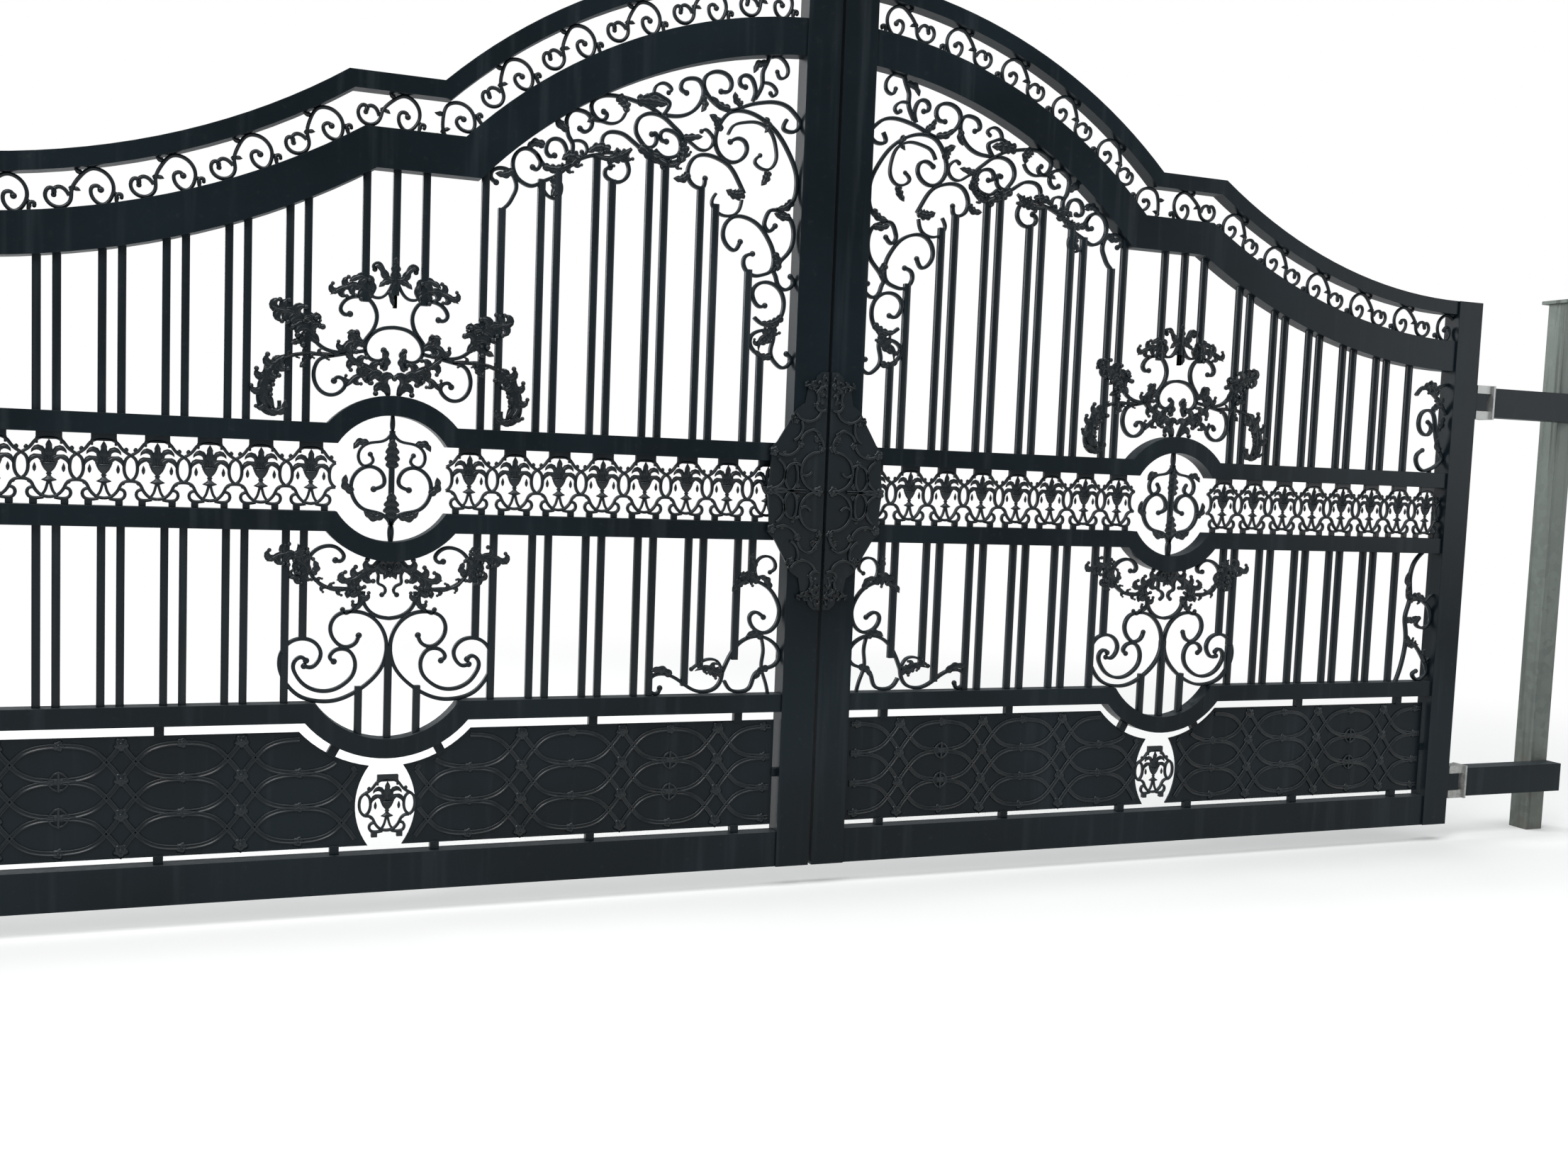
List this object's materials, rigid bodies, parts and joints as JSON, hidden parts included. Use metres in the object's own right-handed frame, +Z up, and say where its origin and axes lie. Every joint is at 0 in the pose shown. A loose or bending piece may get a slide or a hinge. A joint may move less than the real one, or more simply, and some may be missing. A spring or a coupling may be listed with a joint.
{
  "type": "driveway gate",
  "caption": "Double-leaf wrought iron driveway gate with arched scrollwork top, paired bars, panelled base and square hinge posts.",
  "frame": {"origin": "centre of the left post's foot, on the ground", "axes": "+X from the left post to the right post, +Y away from the street, +Z up"},
  "size_m": [5.96, 0.171, 2.614],
  "materials": {
    "black_iron": "satin near-black powder coat",
    "galvanised_post": "dull galvanised steel tube",
    "galvanised_fitting": "galvanised steel plate"
  },
  "bodies": {
    "posts": {"left_hinge_arms": "black_iron", "left_hinge_brackets": "galvanised_fitting", "left_post": "galvanised_post", "right_hinge_arms": "black_iron", "right_hinge_brackets": "galvanised_fitting", "right_post": "galvanised_post"},
    "left_leaf": {"left_arch_rail": "black_iron", "left_bars": "black_iron", "left_bottom_rail": "black_iron", "left_corner_scrolls_low": "black_iron", "left_corner_scrolls_top": "black_iron", "left_crest_scrolls": "black_iron", "left_crown_frieze": "black_iron", "left_crown_rail": "black_iron", "left_hinge_eyes": "black_iron", "left_hinge_scrolls_high": "black_iron", "left_hinge_scrolls_low": "black_iron", "left_hinge_stile": "black_iron", "left_kick_panel": "black_iron", "left_lock_plate": "black_iron", "left_lower_mid_rail": "black_iron", "left_lower_rail": "black_iron", "left_medallion_scrolls": "black_iron", "left_meeting_stile": "black_iron", "left_panel_vase": "black_iron", "left_pendant_scrolls": "black_iron", "left_upper_mid_rail": "black_iron", "left_urn_frieze": "black_iron"},
    "right_leaf": {"right_arch_rail": "black_iron", "right_bars": "black_iron", "right_bottom_rail": "black_iron", "right_corner_scrolls_low": "black_iron", "right_corner_scrolls_top": "black_iron", "right_crest_scrolls": "black_iron", "right_crown_frieze": "black_iron", "right_crown_rail": "black_iron", "right_hinge_eyes": "black_iron", "right_hinge_scrolls_high": "black_iron", "right_hinge_scrolls_low": "black_iron", "right_hinge_stile": "black_iron", "right_kick_panel": "black_iron", "right_lock_plate": "black_iron", "right_lower_mid_rail": "black_iron", "right_lower_rail": "black_iron", "right_medallion_scrolls": "black_iron", "right_meeting_stile": "black_iron", "right_panel_vase": "black_iron", "right_pendant_scrolls": "black_iron", "right_upper_mid_rail": "black_iron", "right_urn_frieze": "black_iron"}
  },
  "joints": [
    {"name": "left_leaf_swing", "type": "hinge", "parent": "posts", "child": "left_leaf", "pos_m": [0.458, -0.07, 0.206], "axis": [0, 0, 1], "range_deg": [0, 90]},
    {"name": "right_leaf_swing", "type": "hinge", "parent": "posts", "child": "right_leaf", "pos_m": [5.392, -0.07, 0.206], "axis": [0, 0, -1], "range_deg": [0, 90]}
  ]
}
